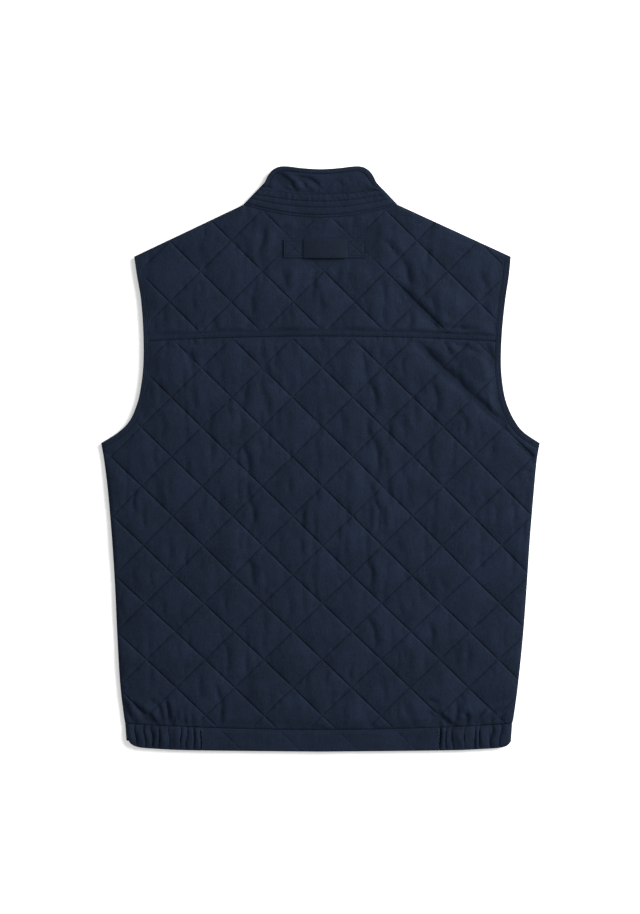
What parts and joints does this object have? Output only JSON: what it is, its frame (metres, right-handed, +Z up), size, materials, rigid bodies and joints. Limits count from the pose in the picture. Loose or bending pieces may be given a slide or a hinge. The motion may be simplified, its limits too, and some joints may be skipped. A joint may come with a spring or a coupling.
{
  "type": "quilted vest",
  "caption": "Diamond-quilted sleeveless vest with a stand collar, bound armholes, a gathered hem and a front zip, laid flat with its back up.",
  "frame": {"origin": "middle of the laid vest's outline, on the surface that it lies on", "axes": "+Y from the hem to the collar, +Z up out of the back, away from the surface, -X towards the wearer's left side"},
  "size_m": [0.5532, 0.7377, 0.0134],
  "materials": {
    "shell": "fine woven polyester, quilted over thin padding, slight sheen",
    "trim": "woven binding and tape, matt",
    "ribbon": "smooth satin ribbon, plain",
    "zip_plastic": "moulded teeth, satin",
    "zip_metal": "dark enamelled metal, satin"
  },
  "bodies": {
    "vest": {"back_yoke": "shell", "back_body": "shell", "front_left": "shell", "front_right": "shell", "collar_band": "shell", "collar_upper": "shell", "hem_back": "shell", "hem_front_left": "shell", "hem_front_right": "shell", "hem_casing_left": "shell", "hem_casing_right": "shell", "binding_left": "trim", "binding_right": "trim", "collar_binding": "trim", "hanger_loop": "trim", "zip_tape_left": "trim", "zip_tape_right": "trim", "label_sleeve": "ribbon", "zip_chain": "zip_plastic", "zip_slider": "zip_metal", "zip_box": "zip_metal"},
    "pull": {"zip_pull": "zip_metal"}
  },
  "joints": [
    {"name": "pull_swing", "type": "hinge", "parent": "vest", "child": "pull", "pos_m": [0, 0.2915, 0.0015], "axis": [1, 0, 0], "range_deg": [0, 170]}
  ]
}
